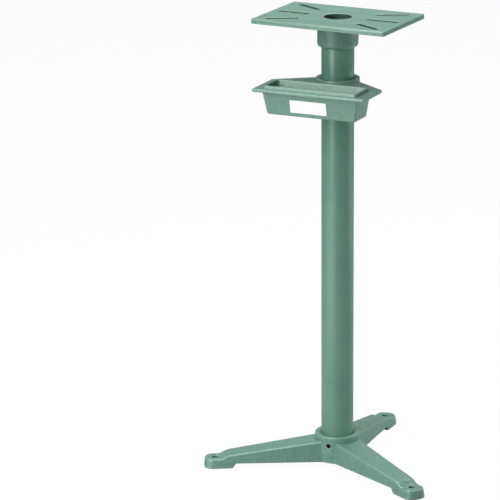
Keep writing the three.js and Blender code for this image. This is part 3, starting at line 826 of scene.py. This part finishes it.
key = add_node(screw_tree, "GeometryNodeTransform", {
    "Geometry": key.outputs["Mesh"], "Translation": key_place.outputs[0]})
socketed = add_node(screw_tree, "GeometryNodeMeshBoolean", {
    "Mesh 1": threaded.outputs["Geometry"], "Mesh 2": key.outputs["Geometry"]
}, operation="DIFFERENCE")
seat = add_node(screw_tree, "ShaderNodeCombineXYZ", {
    "X": worked("ADD", given["Start"], half_length), "Z": given["Height"]})
laid = add_node(screw_tree, "GeometryNodeTransform", {
    "Geometry": socketed.outputs["Mesh"], "Rotation": (0, math.pi / 2, 0),
    "Translation": seat.outputs[0]})
heading = add_node(screw_tree, "ShaderNodeCombineXYZ", {"Z": given["Direction"]})
aimed = add_node(screw_tree, "GeometryNodeTransform", {
    "Geometry": laid.outputs["Geometry"], "Rotation": heading.outputs[0],
    "Scale": (1 / MM_PER_M,) * 3, "Translation": (AXIS.x, AXIS.y, 0)})
real = add_node(screw_tree, "GeometryNodeRealizeInstances", {"Geometry": aimed.outputs["Geometry"]})
blacked = add_node(screw_tree, "GeometryNodeSetMaterial", {
    "Geometry": real.outputs["Geometry"], "Material": black_oxide})
add_node(screw_tree, "NodeGroupOutput", {"Screw": blacked.outputs["Geometry"]})

for name, screw_place in SCREW_PLACES.items():
    screw = linked(name, bpy.data.meshes.new(name))
    maker = screw.modifiers.new("maker", "NODES")
    maker.node_group = screw_tree
    for size, value in {**SCREW, **screw_place}.items():
        maker[screw_sockets[size].identifier] = value
    screw_mesh = finished_mesh(screw)
    screw.modifiers.clear()
    screw.data = screw_mesh
    screw_mesh.shade_smooth()
    screw_mesh.set_sharp_from_angle(angle=SCREW_SHARP_FROM)
    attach(screw, name)
    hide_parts(name)

# Stage. A camera with a long lens, set back and to the right as in a catalogue picture, a pale floor
# that keeps the stand's shadow, and soft lamps all round: a tall strip at the left that gives the
# tube its highlight, a low card for the base, broad lamps overhead, and weaker ones at the right.
CAMERA = {
    "distance": 5188.6,
    "height": 1894.8,
    "bearing": math.radians(23.692),
    "aim_off": math.radians(1.701),
    "dip": math.radians(16.123),
    "roll": math.radians(-0.398),
    "focal_px": 3069.4,
}
PICTURE_PX = 500
SENSOR_MM = 36.0
FARTHEST_SEEN = 100

camera_data = bpy.data.cameras.new("camera")
camera_data.sensor_width = SENSOR_MM
camera_data.lens = SENSOR_MM * CAMERA["focal_px"] / PICTURE_PX
camera_data.clip_end = FARTHEST_SEEN
camera = linked("camera", camera_data)
camera_place = Vector((
    CAMERA["distance"] * math.sin(CAMERA["bearing"]) / MM_PER_M + AXIS.x,
    -CAMERA["distance"] * math.cos(CAMERA["bearing"]) / MM_PER_M + AXIS.y,
    CAMERA["height"] / MM_PER_M,
))
camera.matrix_world = (
    Matrix.Translation(camera_place)
    @ Matrix.Rotation(CAMERA["bearing"] + CAMERA["aim_off"], 4, "Z")
    @ Matrix.Rotation(math.pi / 2 - CAMERA["dip"], 4, "X")
    @ Matrix.Rotation(CAMERA["roll"], 4, "Z")
)
bpy.context.scene.camera = camera

FLOOR_REACH = 30
FLOOR_DROP = 0.0004
floor_mesh = bpy.data.meshes.new("floor")
floor_corners = [
    (x * FLOOR_REACH, y * FLOOR_REACH, 0) for x, y in ((-1, -1), (1, -1), (1, 1), (-1, 1))]
floor_mesh.from_pydata(floor_corners, [], [(0, 1, 2, 3)])
floor = linked("floor", floor_mesh)
floor.location.z = -FLOOR_DROP


def seen_white(tree, reflected):
    """How white a backdrop is to each ray: all to the camera and through glass, less in a mirror."""
    rays = add_node(tree, "ShaderNodeLightPath").outputs
    mirrored = add_node(tree, "ShaderNodeMath", {
        0: rays["Is Glossy Ray"], 1: reflected}, operation="MULTIPLY")
    seen = add_node(tree, "ShaderNodeMath", {
        0: rays["Is Camera Ray"], 1: mirrored.outputs[0]}, operation="MAXIMUM")
    seen = add_node(tree, "ShaderNodeMath", {
        0: seen.outputs[0], 1: rays["Is Transmission Ray"]}, operation="MAXIMUM")
    return rays, seen.outputs[0]


# Studio paper, rolled matt: it has no gloss of its own, shows the camera a plain white, and keeps a
# soft shadow under the feet. It throws back less light than it shows, as paper in half shade does.
REFLECTED_WHITE = {"floor": 0.05, "backdrop": 0.3}
FLOOR_WHITE = 0.97
pale_floor, tree, shader = new_material("pale_floor")
shader.inputs["Roughness"].default_value = 0.9
shader.inputs["Specular IOR Level"].default_value = 0.1
rays, seen = seen_white(tree, REFLECTED_WHITE["floor"])
paper = add_node(tree, "ShaderNodeMix", {
    "Factor": rays["Is Camera Ray"], "A": linear("#a8a8a8"), "B": linear("#f4f4f4")
}, data_type="RGBA")
tree.links.new(paper.outputs["Result"], shader.inputs["Base Color"])
white_share = add_node(tree, "ShaderNodeMath", {0: seen, 1: FLOOR_WHITE}, operation="MULTIPLY")
glow = add_node(tree, "ShaderNodeEmission", {"Color": linear("#ffffff"), "Strength": 1.0})
surface = add_node(tree, "ShaderNodeMixShader", {
    0: white_share.outputs[0], 1: shader.outputs[0], 2: glow.outputs[0]})
tree.links.new(surface.outputs[0], tree.nodes["Material Output"].inputs["Surface"])
floor_mesh.materials.append(pale_floor)

world = bpy.data.worlds.new("studio")
bpy.context.scene.world = world
world.use_nodes = True
tree = world.node_tree
rays, seen = seen_white(tree, REFLECTED_WHITE["backdrop"])
backdrop = tree.nodes["Background"]
backdrop.inputs["Color"].default_value = linear("#ffffff")
tree.links.new(seen, backdrop.inputs["Strength"])

# Each lamp's place is given by its angle round from the camera and up from level, in degrees, and
# its distance, in metres, from the column's middle height. It is turned towards the height "aim".
# The fill at the right stands for light off a pale wall, so nothing mirrors it as a lamp.
LAMP_CENTRE = 0.45
BROAD = {"away": 3.0, "aim": 0.45, "size": (1.4, 1.4)}
LAMPS = {
    "left_strip": {
        "side": -41, "rise": 21, "away": 2.36, "aim": 0.45, "size": (1.0, 2.4), "power": 49},
    "left_card": {
        "side": -50, "rise": -29, "away": 0.81, "aim": 0.05, "size": (0.8, 0.5), "power": 2.2},
    "top": {**BROAD, "side": -42, "rise": 67, "power": 45},
    "right": {**BROAD, "side": 105, "rise": 25, "power": 11},
    "right_fill": {
        "side": 102, "rise": -8, "away": 2.0, "aim": 0.45, "size": (1.4, 0.28), "power": 31},
    "back": {**BROAD, "side": 175, "rise": 66, "power": 72},
}
NOT_REFLECTED = {"right_fill"}
for name, lamp_at in LAMPS.items():
    lamp_data = bpy.data.lights.new(name, "AREA")
    lamp_data.shape = "RECTANGLE"
    lamp_data.size, lamp_data.size_y = lamp_at["size"]
    lamp_data.energy = lamp_at["power"]
    lamp = linked(name, lamp_data)
    lamp.visible_glossy = name not in NOT_REFLECTED
    bearing = CAMERA["bearing"] + math.radians(lamp_at["side"])
    rise = math.radians(lamp_at["rise"])
    level = Vector((math.sin(bearing), -math.cos(bearing), 0))
    away = level * math.cos(rise) + Vector((0, 0, math.sin(rise)))
    lamp.location = Vector((AXIS.x, AXIS.y, LAMP_CENTRE)) + away * lamp_at["away"]
    backwards = lamp.location - Vector((AXIS.x, AXIS.y, lamp_at["aim"]))
    lamp.rotation_euler = backwards.to_track_quat("Z", "Y").to_euler()

bpy.context.scene.view_settings.view_transform = "Standard"
